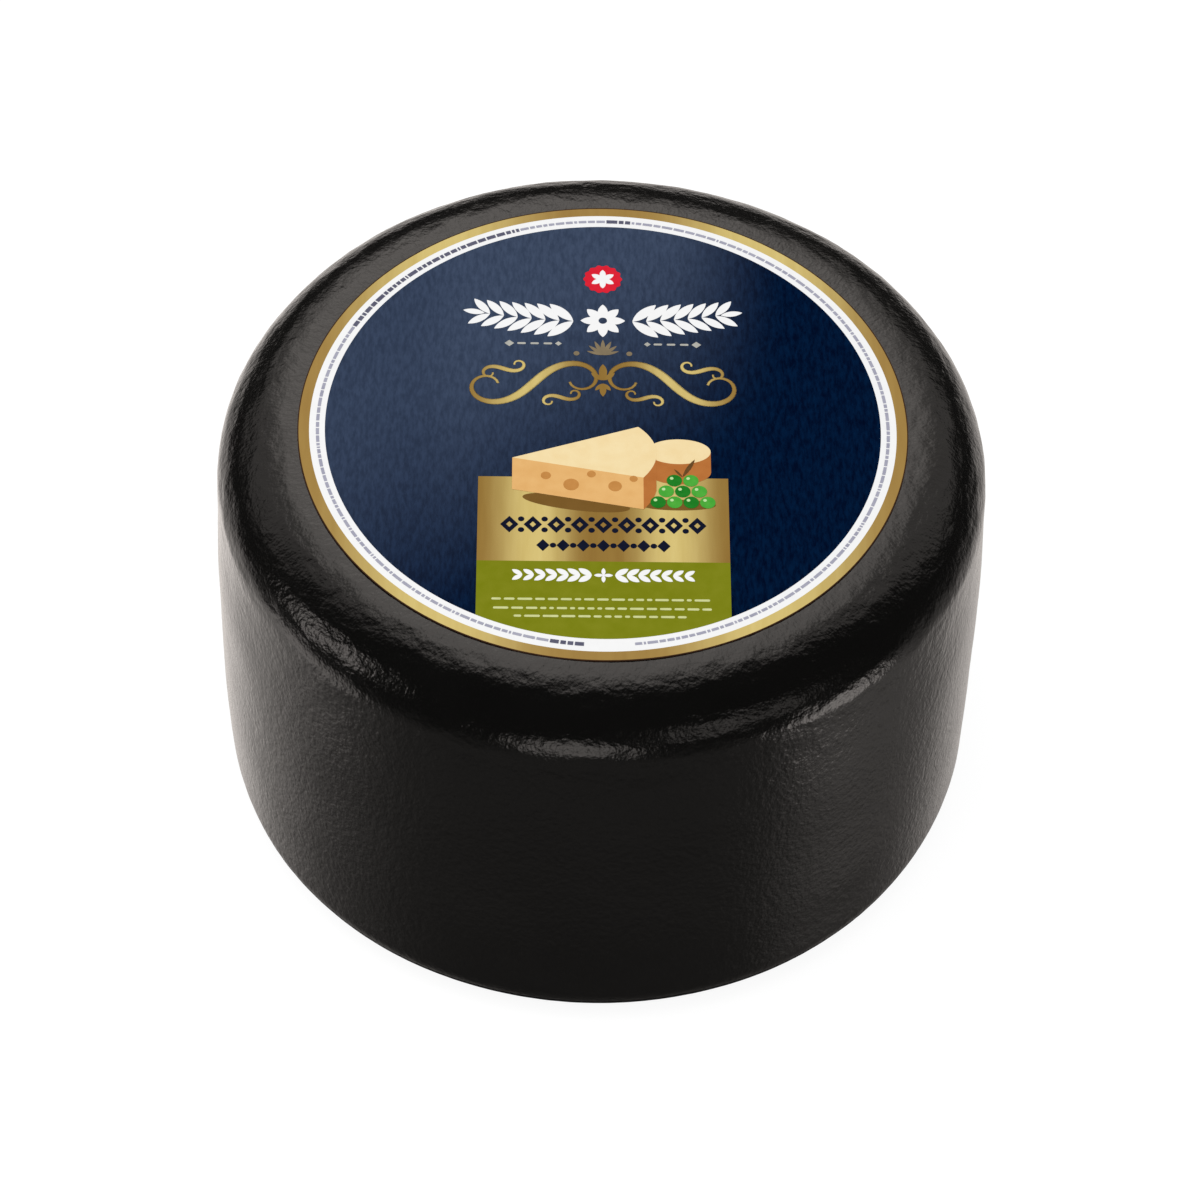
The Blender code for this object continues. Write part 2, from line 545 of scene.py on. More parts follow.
# How many wrinkles, grains and clouds there are to a metre: twice across the wheel and then up the wall
WRINKLES = (560.0, 560.0, 470.0)
GRAINS = (1250.0, 1250.0, 1100.0)
CLOUDS = 45.0

black, black_shader = new_finish("black_coat_finish", {"IOR": 1.5})
colour = Wire(black_shader.inputs["Base Color"])
skin = colour.node("ShaderNodeAttribute", {"attribute_name": "skin"}, out="Vector")
wrinkle = skin.stretched(*WRINKLES).speckle(detail=1.0)
grain = skin.stretched(*GRAINS).speckle(roughness=0.55)
cloud = skin.spots(CLOUDS, detail=3.0)
colour.feed(cloud.blend(DEEP_BLACK, WORN_BLACK))
Wire(black_shader.inputs["Roughness"]).feed(COAT_GLOSS - 0.02 + 0.05 * cloud + 0.03 * grain)
relief = WRINKLE_SHARE * wrinkle + (1.0 - WRINKLE_SHARE) * grain
sockets = {"Strength": 1.0, "Distance": WRINKLE_DEPTH, "Height": relief}
bump = relief.node("ShaderNodeBump", None, sockets)
Wire(black_shader.inputs["Normal"]).feed(bump)
coat.data.materials.append(black)
hand_over(coat, "coat", "cheese_wheel")
print("coat material nodes:", len(black.node_tree.nodes))

# %% [markdown]
# ## The label's print
# The label is one round sheet of coated paper. Its print is laid out from the middle: a dark blue field,
# a white ring, a gold ring, and a panel that is gold above and green below. The sheet lies turned by a
# little over a degree, as it was glued by hand. All inks share one function, which turns the pattern with
# the sheet and gives every ink a trace of uneven gloss.

# %% Inks
LABEL_TURN = math.radians(1.25)
LABEL_SHIFT = Vector((0.0, -0.6 * MM, 0.0))
TOP_LIGHT = 1.1
PRINT_SHEEN = 0.005
BLUE_RADIUS = 83.1 * MM
WHITE_RADIUS = 87.8 * MM
PANEL_HALF_WIDTH = 37.0 * MM
PANEL_TOP = -21.0 * MM
PANEL_SPLIT = -53.8 * MM

# How far from the middle the painted shine on the gold of the ring and of the scrolls has faded to dark
# gold again
RING_GOLD_WIDTH = 90.0 * MM
SCROLL_GOLD_WIDTH = 42.0 * MM
GOLD_ROUGHNESS = 0.4

# How many fibres, upright grains of the blue and streaks of the gold there are to a metre
FIBRES = 900.0
BLUE_GRAIN = (760.0, 210.0, 400.0)
GOLD_STREAKS = (380.0, 40.0, 100.0)

# Pairs of near inks, as screen colours
DEEP_BLUE = ((0, 9, 34), (2, 27, 58))
# The paler blue is a painted sheen, laid over the upper left of the field
SHEEN_BLUE = ((52, 64, 86), (66, 79, 103))
DARK_GOLD = ((140, 106, 50), (158, 126, 64))
RING_DARK_GOLD = ((154, 120, 64), (172, 140, 78))
# The light gold is painted shine, as if the gold were metal that mirrors a light
GOLD_SHINE = ((204, 179, 104), (226, 205, 134))


def ink(red, green, blue):
    """The ink that looks like this screen colour under the studio's light from above."""
    return tuple(value / TOP_LIGHT for value in paint(red, green, blue)[:3]) + (1.0,)


def inked(mask, pair):
    """A mask's mix of two inks."""
    return mask.blend(ink(*pair[0]), ink(*pair[1]))


def printed(name, pattern, roughness=0.5):
    """A print finish whose colour is pattern(place), with place in metres on the sheet."""
    material, shader = new_finish(name, {"Specular IOR Level": PRINT_SHEEN})
    socket = Wire(shader.inputs["Base Color"])
    sockets = {
        "Vector": socket.node("ShaderNodeTexCoord", out="Object"),
        "Location": LABEL_SHIFT,
        "Rotation": (0.0, 0.0, LABEL_TURN),
    }
    place = socket.node("ShaderNodeMapping", {"vector_type": "TEXTURE"}, sockets)
    socket.feed(pattern(place))
    Wire(shader.inputs["Roughness"]).feed(roughness - 0.04 + 0.08 * place.spots(FIBRES))
    return material


def spotted_print(name, dark, light, size):
    """A print finish of two near inks in soft spots of this size."""
    return printed(name, lambda place: inked(place.spots(1.0 / size), (dark, light)))


def blue_field(place):
    """Dark blue with an upright grain like slate's, and a painted sheen that makes it paler towards the
    upper left.
    """
    x, y, _ = place.parts()
    upper_left = 0.76 * y - 0.65 * x
    # Painted sheen: the field grows paler towards the upper left, as if a soft light shone on it there
    painted_sheen = upper_left.rise(-40.0 * MM, 60.0 * MM) * x.rise(58.0 * MM, 18.0 * MM)
    painted_sheen = painted_sheen * (1.0 - 0.2 * x.rise(-40.0 * MM, -60.0 * MM))
    grain = place.stretched(*BLUE_GRAIN).speckle(detail=4.0, roughness=0.7).rise(0.3, 0.7)
    return painted_sheen.blend(inked(grain, DEEP_BLUE), inked(grain, SHEEN_BLUE))


def gold_field(half_width, dark=DARK_GOLD):
    """Gold ink with a painted metallic shine: dark at the sides and the middle, and light halfway between.
    """

    def pattern(place):
        share = abs(place.parts()[0]) / half_width
        # Painted shine: a band of light gold halfway between the middle and the sides
        painted_shine = share.rise(0.12, 0.5) * share.rise(1.0, 0.57)
        streaks = place.stretched(*GOLD_STREAKS).speckle()
        return painted_shine.blend(inked(streaks, dark), inked(streaks, GOLD_SHINE))

    return pattern


blue_print = printed("blue_print", blue_field)
white_print = spotted_print("white_print", (246, 246, 246), (253, 253, 253), 3.0 * MM)
ring_gold = gold_field(RING_GOLD_WIDTH, RING_DARK_GOLD)
gold_ring_print = printed("gold_ring_print", ring_gold, GOLD_ROUGHNESS)
gold_panel_print = printed("gold_panel_print", gold_field(PANEL_HALF_WIDTH), GOLD_ROUGHNESS)
green_print = spotted_print("green_print", (118, 125, 14), (134, 138, 34), 4.0 * MM)
# The dark brown of the sheet's cut edge. It also paints a thin line of shade round the top of the sheet,
# where the label meets the coat
cut_edge_and_shade = spotted_print("cut_edge_and_shade", (52, 34, 24), (74, 50, 36), 2.0 * MM)
print("inks:", len([m for m in bpy.data.materials if m.name.endswith("print")]))

# %% [markdown]
# ## The label's sheet
# The rings are printed on one sheet, so the sheet is one mesh. A filled circle is inset three times, which
# parts it into a thin dark line of painted shade along the edge, a gold ring, a white ring and the blue
# field. Each takes its own ink, and then the sheet gets the paper's thickness.

# %% Sheet with its rings
SHEET_SIDES = 288
# The width of a thin dark line of painted shade along the sheet's edge, on its top
EDGE_SHADE_LINE = 0.35 * MM

# Where each ring begins, and the number of its ink: 0 gold, 1 white, 2 blue, 3 the cut edge's dark brown,
# which also paints the line of shade
RING_INKS = ((LABEL_RADIUS - EDGE_SHADE_LINE, 3), (WHITE_RADIUS, 0), (BLUE_RADIUS, 1), (0.0, 2))
RING_TOLERANCE = 0.05 * MM


def shift(piece, x, y, z=0.0):
    piece.data.transform(Matrix.Translation((x, y, z)))


def flat_circle(radius, x=0.0, y=0.0, sides=24):
    """A filled circle that lies flat."""
    deselect()
    bpy.ops.mesh.primitive_circle_add(vertices=sides, radius=radius, fill_type="NGON")
    piece = bpy.context.object
    shift(piece, x, y)
    return piece


def on_label(piece):
    """Turns and shifts a piece drawn about the origin to where the sheet lies."""
    piece.data.transform(Matrix.Translation(LABEL_SHIFT) @ Matrix.Rotation(LABEL_TURN, 4, "Z"))


def take_inks(piece, *inks):
    """Gives a piece these inks in place of what it had."""
    piece.data.materials.clear()
    for material in inks:
        piece.data.materials.append(material)


def new_piece(name):
    """Names the piece that was made last."""
    piece = bpy.context.object
    piece.name = name
    piece.data.name = name
    return piece


def ring_ink(distance):
    """The number of the ink at a distance from the sheet's middle."""
    return next(number for inner, number in RING_INKS if distance >= inner - RING_TOLERANCE)


flat_circle(LABEL_RADIUS, sides=SHEET_SIDES)
sheet = new_piece("label_sheet")
set_mode("EDIT")
bpy.ops.mesh.select_mode(type="FACE")
bpy.ops.mesh.select_all(action="SELECT")
bpy.ops.mesh.inset(thickness=EDGE_SHADE_LINE)
bpy.ops.mesh.inset(thickness=LABEL_RADIUS - EDGE_SHADE_LINE - WHITE_RADIUS)
bpy.ops.mesh.inset(thickness=WHITE_RADIUS - BLUE_RADIUS)
set_mode("OBJECT")
take_inks(sheet, gold_ring_print, white_print, blue_print, cut_edge_and_shade)
for face in sheet.data.polygons:
    face.material_index = ring_ink(face.center.xy.length)
thickness = label_high.z - label_low.z
apply_modifier(sheet, "SOLIDIFY", thickness=thickness, offset=1.0, material_offset_rim=3)
shift(sheet, 0.0, 0.0, label_low.z)
on_label(sheet)
hand_over(sheet, "label", "label")
print("sheet", round(2.0 * LABEL_RADIUS / MM, 1), "mm across,", len(sheet.data.polygons), "faces")

# %% [markdown]
# ## The panel
# The panel is as wide as four fingers and runs down to the edge of the blue field. A filled circle of the
# field's size is cut with straight bisections, which leaves the round lower edge by itself.

# %% Gold and green panel
INK_FILM = 0.03 * MM
INK_SINK = 0.01 * MM
CUT_TOLERANCE = 0.001 * MM


def raise_ink(piece, layer):
    """Makes a flat drawing into a film of ink that lies on the sheet, one layer above the other."""
    apply_modifier(piece, "SOLIDIFY", thickness=INK_FILM + INK_SINK, offset=1.0)
    shift(piece, 0.0, 0.0, label_high.z - INK_SINK + layer * INK_FILM)
    on_label(piece)


def cut_away(*lines):
    """Cuts the newest drawing along lines, each a point and the way to the side that is dropped."""
    set_mode("EDIT")
    for x, y, across, up in lines:
        bpy.ops.mesh.select_all(action="SELECT")
        bpy.ops.mesh.bisect(
            plane_co=(x, y, 0.0), plane_no=(across, up, 0.0), clear_outer=True, threshold=CUT_TOLERANCE
        )
    set_mode("OBJECT")


def finish_print(piece):
    """Hands over a finished piece of the print."""
    hand_over(piece, "label")
    print(piece.name, "with", len(piece.data.polygons), "faces")


def panel_part(name, high, low, material):
    """The stretch of the panel between two heights."""
    flat_circle(BLUE_RADIUS, sides=SHEET_SIDES)
    part = new_piece(name)
    sides = ((PANEL_HALF_WIDTH, 0.0, 1.0, 0.0), (-PANEL_HALF_WIDTH, 0.0, -1.0, 0.0))
    cut_away(*sides, (0.0, high, 0.0, 1.0), (0.0, low, 0.0, -1.0))
    raise_ink(part, 0)
    take_inks(part, material)
    finish_print(part)


panel_part("gold_panel", PANEL_TOP, PANEL_SPLIT, gold_panel_print)
panel_part("green_panel", PANEL_SPLIT, -LABEL_RADIUS, green_print)

# %% [markdown]
# ## Ornaments
# The label carries old ornaments that belong to nobody: laurel, a rosette, lozenges, scrolls and plain
# rules. They could be painted as an image, but drawn as thin shapes they stay sharp at any size. Each
# motif is modelled once and stamped many times, and all stamps of one ink are joined into one piece.

# %% Leaf
LEAF_SIDES = 56
FAN_STEP = 0.003 * MM
FAN_SIZE = 8


def flat_leaf(length, width):
    """A leaf with two pointed ends, from the origin along X: a slice of a circle, and its mirror image."""
    rise = 0.5 * width
    radius = (0.25 * length * length + rise * rise) / (2.0 * rise)
    piece = flat_circle(radius, 0.5 * length, rise - radius, LEAF_SIDES)
    cut_away((0.0, 0.0, 0.0, -1.0))
    apply_modifier(piece, "MIRROR", use_axis=(False, True, False), merge_threshold=MERGE_DISTANCE)
    return piece


def stamp(motif, x, y, turn=0.0, size=1.0):
    """A copy of a motif with a mesh of its own, turned by degrees and set down at a place."""
    twin = motif.copy()
    twin.data = motif.data.copy()
    scene.collection.objects.link(twin)
    turned = Matrix.Rotation(math.radians(turn), 4, "Z") @ Matrix.Scale(size, 4)
    twin.data.transform(Matrix.Translation((x, y, 0.0)) @ turned)
    return twin


def drop(*pieces):
    for piece in pieces:
        bpy.data.objects.remove(piece, do_unlink=True)


def joined(name, pieces):
    """All these pieces as one."""
    deselect()
    for piece in pieces:
        piece.select_set(True)
    bpy.context.view_layer.objects.active = pieces[0]
    bpy.ops.object.join()
    return new_piece(name)


def fan_out(pieces):
    """Sets stamps a few thousandths of a millimetre apart, so that neighbours share no plane."""
    for number, piece in enumerate(pieces):
        shift(piece, 0.0, 0.0, (number % FAN_SIZE) * FAN_STEP)


def in_ink(name, pieces, material, layer=1):
    """Joins flat stamps into one finished piece of the print."""
    fan_out(pieces)
    piece = joined(name, pieces)
    take_inks(piece, material)
    raise_ink(piece, layer)
    finish_print(piece)


# %% Inks of the ornaments
red_print = spotted_print("red_print", (214, 26, 46), (232, 44, 62), 2.0 * MM)
night_print = spotted_print("night_print", (12, 16, 36), (26, 30, 50), 2.0 * MM)
pale_print = spotted_print("pale_print", (196, 202, 130), (222, 226, 168), 2.0 * MM)
silver_print = spotted_print("silver_print", (164, 164, 158), (196, 194, 184), 3.0 * MM)
bronze_print = spotted_print("bronze_print", (118, 106, 86), (146, 130, 102), 2.0 * MM)
grey_print = spotted_print("grey_print", (150, 150, 170), (184, 184, 198), 5.0 * MM)
slate_print = spotted_print("slate_print", (78, 78, 100), (112, 112, 130), 3.0 * MM)
# The scrolls' gold carries the same painted shine
scroll_print = printed("scroll_print", gold_field(SCROLL_GOLD_WIDTH), GOLD_ROUGHNESS)
print("ornament inks are mixed")

# %% White laurel
LAUREL_HEIGHT = 42.4 * MM
LAUREL_ARCH = 3.0 * MM
LAUREL_START = 9.0 * MM
LAUREL_END = 34.4 * MM
LAUREL_STEPS = 7
LAUREL_OPENING = 42.0
LAUREL_LEAF = (10.2 * MM, 3.3 * MM)
OUTER_LEAF_SHRINK = 0.22
TIP_REACH = LAUREL_END + 1.6 * MM
TIP_HEIGHT = LAUREL_HEIGHT + 1.1 * LAUREL_ARCH
TIP_SLOPE = math.degrees(math.atan(2.0 * LAUREL_ARCH / LAUREL_END))
TIP_SIZE = 0.66
ROSETTE_HEIGHT = LAUREL_HEIGHT + 0.5 * MM
ROSETTE_PETALS = 8
ROSETTE_LEAF = (6.8 * MM, 3.1 * MM)
ROSETTE_EYE = 1.3 * MM


def sprig(motif, start, end, steps, height, arch, opening):
    """Pairs of leaves along a gently arched line, from the middle outwards on both sides."""
    stamps = []
    for side in (1.0, -1.0):
        for step in range(steps):
            share = step / (steps - 1)
            x = side * (start + (end - start) * share)
            y = height + arch * (x / end) ** 2
            slope = math.degrees(math.atan(2.0 * arch * x / end ** 2))
            heading = slope if side > 0.0 else slope + 180.0
            size = 1.0 - OUTER_LEAF_SHRINK * share
            for way in (1.0, -1.0):
                stamps.append(stamp(motif, x, y, heading + way * opening, size))
    return stamps


def star(motif, y, count, first=0.0, size=1.0):
    """Copies of a motif that point away from one place on the middle line, from a first angle on."""
    return [stamp(motif, 0.0, y, first + 360.0 / count * petal, size) for petal in range(count)]


long_leaf = flat_leaf(*LAUREL_LEAF)
leaf_line = (LAUREL_START, LAUREL_END, LAUREL_STEPS, LAUREL_HEIGHT, LAUREL_ARCH)
laurel = sprig(long_leaf, *leaf_line, LAUREL_OPENING)
laurel.append(stamp(long_leaf, TIP_REACH, TIP_HEIGHT, TIP_SLOPE, TIP_SIZE))
laurel.append(stamp(long_leaf, -TIP_REACH, TIP_HEIGHT, 180.0 - TIP_SLOPE, TIP_SIZE))
drop(long_leaf)
rosette_leaf = flat_leaf(*ROSETTE_LEAF)
laurel += star(rosette_leaf, ROSETTE_HEIGHT, ROSETTE_PETALS)
drop(rosette_leaf)
in_ink("white_laurel", laurel, white_print)
in_ink("rosette_eye", [flat_circle(ROSETTE_EYE, 0.0, ROSETTE_HEIGHT)], blue_print, layer=2)

# %% Red seal
SEAL_RADIUS = 5.9 * MM
SEAL_HEIGHT = 60.5 * MM
SEAL_SCALLOPS = 14
SCALLOP_SIDES = 8
SCALLOP_MIDDLE = 0.97
SCALLOP_DEPTH = 0.045
FLOWER_LEAF = (3.9 * MM, 1.9 * MM)
FLOWER_PETALS = 6

seal = flat_circle(SEAL_RADIUS, sides=SEAL_SCALLOPS * SCALLOP_SIDES)
for vertex in seal.data.vertices:
    turn = math.atan2(vertex.co.y, vertex.co.x)
    vertex.co *= SCALLOP_MIDDLE + SCALLOP_DEPTH * math.cos(SEAL_SCALLOPS * turn)
shift(seal, 0.0, SEAL_HEIGHT)
in_ink("red_seal", [seal], red_print)

petal = flat_leaf(*FLOWER_LEAF)
petals = star(petal, SEAL_HEIGHT, FLOWER_PETALS, first=30.0)
drop(petal)
in_ink("seal_flower", petals, white_print, layer=2)

# %% Silver rule
RULE_HEIGHT = 33.2 * MM
RULE_START = 13.5 * MM
RULE_END = 28.4 * MM
RULE_LOZENGE = (2.9 * MM, 2.6 * MM)
RULE_BAR = (2.6 * MM, 0.8 * MM)
RULE_BARS = 3
FIRST_BAR = RULE_START + 3.2 * MM
BAR_PITCH = 4.0 * MM


def lozenge(width, height):
    """A flat lozenge about the origin."""
    piece = flat_circle(0.5, sides=4)
    piece.data.transform(Matrix.Diagonal((width, height, 1.0, 1.0)))
    return piece


def bar(width, height):
    """A flat bar with rounded ends about the origin."""
    piece = flat_circle(0.5 * height, sides=16)
    for vertex in piece.data.vertices:
        vertex.co.x += math.copysign(0.5 * (width - height), vertex.co.x)
    return piece


small_lozenge = lozenge(*RULE_LOZENGE)
short_bar = bar(*RULE_BAR)
rule = []
for side in (-1.0, 1.0):
    rule.append(stamp(small_lozenge, side * RULE_END, RULE_HEIGHT))
    rule.append(stamp(small_lozenge, side * RULE_START, RULE_HEIGHT, size=0.7))
    for step in range(RULE_BARS):
        rule.append(stamp(short_bar, side * (FIRST_BAR + BAR_PITCH * step), RULE_HEIGHT))
drop(small_lozenge, short_bar)
in_ink("silver_rule", rule, silver_print)

# %% Bronze palmette
PALMETTE_FOOT = 28.6 * MM
PALMETTE_LEAF = (6.4 * MM, 1.35 * MM)
PALMETTE_LEAVES = 7
FIRST_LEAF_TURN = 18.0
LEAF_TURN = 24.0
BERRY_RADIUS = 0.9 * MM
BERRY_REACH = 8.0 * MM
BERRY_HEIGHT = PALMETTE_FOOT + 0.6 * MM

ray = flat_leaf(*PALMETTE_LEAF)
rays = []
for step in range(PALMETTE_LEAVES):
    size = 0.8 + 0.2 * math.sin(math.pi * step / (PALMETTE_LEAVES - 1))
    rays.append(stamp(ray, 0.0, PALMETTE_FOOT, FIRST_LEAF_TURN + LEAF_TURN * step, size))
drop(ray)
rays.append(flat_circle(BERRY_RADIUS, -BERRY_REACH, BERRY_HEIGHT))
rays.append(flat_circle(BERRY_RADIUS, BERRY_REACH, BERRY_HEIGHT))
in_ink("bronze_palmette", rays, bronze_print)

# %% [markdown]
# ## Gold scrolls
# The gold flourish is made of brush strokes. A scroll's curl grows tighter towards both ends, so its line
# is drawn by walking along it while the heading turns by the square of the way gone. The stroke swells in
# the middle like a pen's. A curve object gives it its width, and it is made a mesh and pressed flat.

# %% Scrolls
SCROLL_POINTS = 61
SCROLL_CURL = 5.4
STROKE_MERGE = 0.005 * MM
STROKE_RISE = 1.4 * INK_FILM

# The scrolls on the right side: length, middle across and up, thin end and thick middle, all in
# millimetres, the heading in the middle in radians, and 1 or, for a scroll upside down, -1
SCROLLS = (
    (74.0, 20.8, 17.0, 0.42, 1.5, -0.88, 1.0),
    (25.0, 30.0, 22.6, 0.3, 0.85, -0.38, -1.0),
    (22.0, 12.5, 11.0, 0.3, 0.8, -0.38, -1.0),
)


def scroll_line(length, curl, heading):
    """The points of an S-shaped scroll about the origin."""
    step = length / (SCROLL_POINTS - 1)
    points = [Vector((0.0, 0.0, 0.0))]
    for number in range(SCROLL_POINTS - 1):
        share = 2.0 * (number + 0.5) / (SCROLL_POINTS - 1) - 1.0
        angle = heading + curl * share * share
        points.append(points[-1] + step * Vector((math.cos(angle), math.sin(angle), 0.0)))
    middle = points[SCROLL_POINTS // 2].copy()
    return [point - middle for point in points]


def brush_stroke(points, thin, thick):
    """A stroke along points that is thin at its ends and thick in its middle, as a flat closed mesh."""
    line = bpy.data.curves.new("stroke", "CURVE")
    line.dimensions = "3D"
    line.bevel_depth = 1.0
    line.bevel_resolution = 1
    line.use_fill_caps = True
    spline = line.splines.new("POLY")
    spline.points.add(len(points) - 1)
    for number, point in enumerate(points):
        share = number / (len(points) - 1)
        spline.points[number].co = (*point, 1.0)
        spline.points[number].radius = thin + (thick - thin) * math.sin(math.pi * share) ** 2
    piece = bpy.data.objects.new("stroke", line)
    scene.collection.objects.link(piece)
    make_active(piece)
    bpy.ops.object.convert(target="MESH")
    set_mode("EDIT")
    bpy.ops.mesh.select_all(action="SELECT")
    bpy.ops.mesh.remove_doubles(threshold=STROKE_MERGE)
    bpy.ops.mesh.normals_make_consistent(inside=False)
    set_mode("OBJECT")
    piece.data.transform(Matrix.Diagonal((1.0, 1.0, 0.5 * INK_FILM / thick, 1.0)))
    return piece


def mirrored_twin(piece):
    """A piece's mirror image about the label's upright middle line."""
    twin = stamp(piece, 0.0, 0.0)
    twin.data.transform(Matrix.Diagonal((-1.0, 1.0, 1.0, 1.0)))
    twin.data.flip_normals()
    return twin


def press_strokes(name, strokes, material):
    """Joins finished strokes and lays them on the sheet."""
    piece = joined(name, strokes)
    take_inks(piece, material)
    shift(piece, 0.0, 0.0, label_high.z + STROKE_RISE)
    on_label(piece)
    finish_print(piece)


def placed_scroll(length, x, y, thin, thick, heading, flip):
    """A scroll's stroke with its middle at a place. A flip of -1 turns it upside down."""
    points = [
        Vector((x * MM + point.x, y * MM + flip * point.y, 0.0))
        for point in scroll_line(length * MM, SCROLL_CURL, heading)
    ]
    return brush_stroke(points, thin * MM, thick * MM)


right_side = [placed_scroll(*numbers) for numbers in SCROLLS]
left_side = [mirrored_twin(stroke) for stroke in right_side]
press_strokes("gold_scrolls", right_side + left_side, scroll_print)

# %% Gold fleuron
FLEURON_LEAF = (6.6 * MM, 2.5 * MM)

# Its leaves: where each starts on the middle line, in millimetres, its heading in degrees, and its size
FLEURON_LEAVES = (
    (18.2, 90.0, 1.0),
    (18.2, 40.0, 0.7),
    (18.2, 140.0, 0.7),
    (16.8, 270.0, 0.8),
    (16.8, 230.0, 0.55),
    (16.8, 310.0, 0.55),
)

fleuron_leaf = flat_leaf(*FLEURON_LEAF)
fleuron = [stamp(fleuron_leaf, 0.0, y * MM, turn, size) for y, turn, size in FLEURON_LEAVES]
drop(fleuron_leaf)
in_ink("gold_fleuron", fleuron, scroll_print)

# %% [markdown]
# ## Bands on the panel
# Two dark bands of lozenges and dots cross the gold, and a white sprig crosses the green. Under them run
# three pale rows of short dashes. They are modelled as flat shapes too, so that their edges stay crisp.

# %% Dark bands
BAND_ONE = -39.7 * MM
BAND_ONE_PITCH = 6.9 * MM
BAND_ONE_LOZENGES = 9
BAND_TWO = -47.7 * MM
BAND_TWO_PITCH = 5.9 * MM
BAND_TWO_LOZENGES = 7
BAND_TWO_SIZE = 0.72
BAND_LOZENGE = (5.4 * MM, 6.4 * MM)
INLAY_SIZE = 0.34
DOT_RADIUS = 0.95 * MM
DOT_RISE = 2.1 * MM


def row_places(count, pitch):
    """The places of a row of this many, with the row's middle at 0."""
    return [pitch * (step - 0.5 * (count - 1)) for step in range(count)]


tall_lozenge = lozenge(*BAND_LOZENGE)
dot = flat_circle(DOT_RADIUS, sides=16)
band_one_places = row_places(BAND_ONE_LOZENGES, BAND_ONE_PITCH)
bands = [stamp(tall_lozenge, x, BAND_ONE) for x in band_one_places]
for x in row_places(BAND_ONE_LOZENGES - 1, BAND_ONE_PITCH):
    for rise in (-DOT_RISE, DOT_RISE):
        bands.append(stamp(dot, x, BAND_ONE + rise))
for x in row_places(BAND_TWO_LOZENGES, BAND_TWO_PITCH):
    bands.append(stamp(tall_lozenge, x, BAND_TWO, size=BAND_TWO_SIZE))
for x in row_places(BAND_TWO_LOZENGES - 1, BAND_TWO_PITCH):
    bands.append(stamp(dot, x, BAND_TWO))
in_ink("night_bands", bands, night_print)
inlay = [stamp(tall_lozenge, x, BAND_ONE, size=INLAY_SIZE) for x in band_one_places]
drop(tall_lozenge, dot)
in_ink("gold_inlay", inlay, gold_panel_print, layer=2)

# %% White sprig on green
SPRIG_LEAF = (4.6 * MM, 2.0 * MM)
SPRIG_HEIGHT = -59.1 * MM
SPRIG_START = 3.4 * MM
SPRIG_END = 23.6 * MM
SPRIG_STEPS = 7
SPRIG_OPENING = 33.0

small_leaf = flat_leaf(*SPRIG_LEAF)
green_sprig = sprig(small_leaf, SPRIG_START, SPRIG_END, SPRIG_STEPS, SPRIG_HEIGHT, 0.0, SPRIG_OPENING)
green_sprig += star(small_leaf, SPRIG_HEIGHT, 4, size=0.6)
drop(small_leaf)
in_ink("white_sprig", green_sprig, white_print)

# %% Pale dashes
DASH_SEED = 11
DASH_HEIGHT = 0.85 * MM

# Each row's height and half of its width, then the shortest and the longest dash and the gap, all in
# millimetres
DASH_ROWS = ((-68.3, 32.5), (-71.7, 32.0), (-74.7, 26.0))
DASH_SPACING = (1.3, 4.6, 0.8)


def row_of_dashes(half_width, shortest, longest, gap, draw):
    """Start and length of dashes that fill a row from -half_width to half_width."""
    at = -half_width
    while at < half_width - shortest:
        length = min(draw.uniform(shortest, longest), half_width - at)
        yield at, length
        at += length + gap


draw = random.Random(DASH_SEED)
dashes = []
for row, half_width in DASH_ROWS:
    for start, length in row_of_dashes(half_width, *DASH_SPACING, draw):
        dash = bar(length * MM, DASH_HEIGHT)
        shift(dash, (start + 0.5 * length) * MM, row * MM)
        dashes.append(dash)
in_ink("pale_dashes", dashes, pale_print)

# %% [markdown]
# ## Fine dashes in the white ring
# A ring of very fine grey print runs round the white ring. Dashes of many lengths, bent along the ring,
# give its grey tone. They are taller and darker on three stretches, and one stretch is bare.

# %% Ring of dashes
RING_MIDDLE = 85.3 * MM
FINE_HEIGHT = 0.95 * MM
BOLD_HEIGHT = 1.35 * MM

# In degrees round the ring from the right: the bold and the bare stretches, then the shortest and the
# longest dash and the gap, and how far a straight piece of a bent dash runs
BOLD_STRETCHES = ((106.0, 152.0), (84.0, 89.0), (257.0, 265.5))
BARE_STRETCH = (265.5, 276.5)
RING_SPACING = (0.35, 2.4, 0.32)
RING_PIECE = 0.6


def ring_dash(start, length, height):
    """A flat dash bent along the ring, from an angle and for a length in degrees."""
    steps = max(2, round(length / RING_PIECE))
    deselect()
    bpy.ops.mesh.primitive_grid_add(x_subdivisions=steps, y_subdivisions=1, size=2.0)
    piece = bpy.context.object
    for vertex in piece.data.vertices:
        turn = math.radians(start + 0.5 * length * (1.0 + vertex.co.x))
        radius = RING_MIDDLE - 0.5 * height * vertex.co.y
        vertex.co = (radius * math.cos(turn), radius * math.sin(turn), 0.0)
    return piece


draw = random.Random(DASH_SEED + 1)
fine = []
bold = []
for start, length in row_of_dashes(180.0, *RING_SPACING, draw):
    turn = start % 360.0
    if BARE_STRETCH[0] <= turn + 0.5 * length <= BARE_STRETCH[1]:
        continue
    if any(low <= turn <= high for low, high in BOLD_STRETCHES):
        bold.append(ring_dash(turn, length, BOLD_HEIGHT))
    else:
        fine.append(ring_dash(turn, length, FINE_HEIGHT))
in_ink("fine_ring_dashes", fine, grey_print)
in_ink("bold_ring_dashes", bold, slate_print)

# %% [markdown]
# ## The little drawing
# In the middle of the label is a simple drawing: a wedge of cheese, a small round one and some grapes. The
# wedge is drawn as a real one is cut: a filled circle loses all but one sector, is flattened as if seen
# from above, and its near edges are pulled straight down for the cut side and the rind.

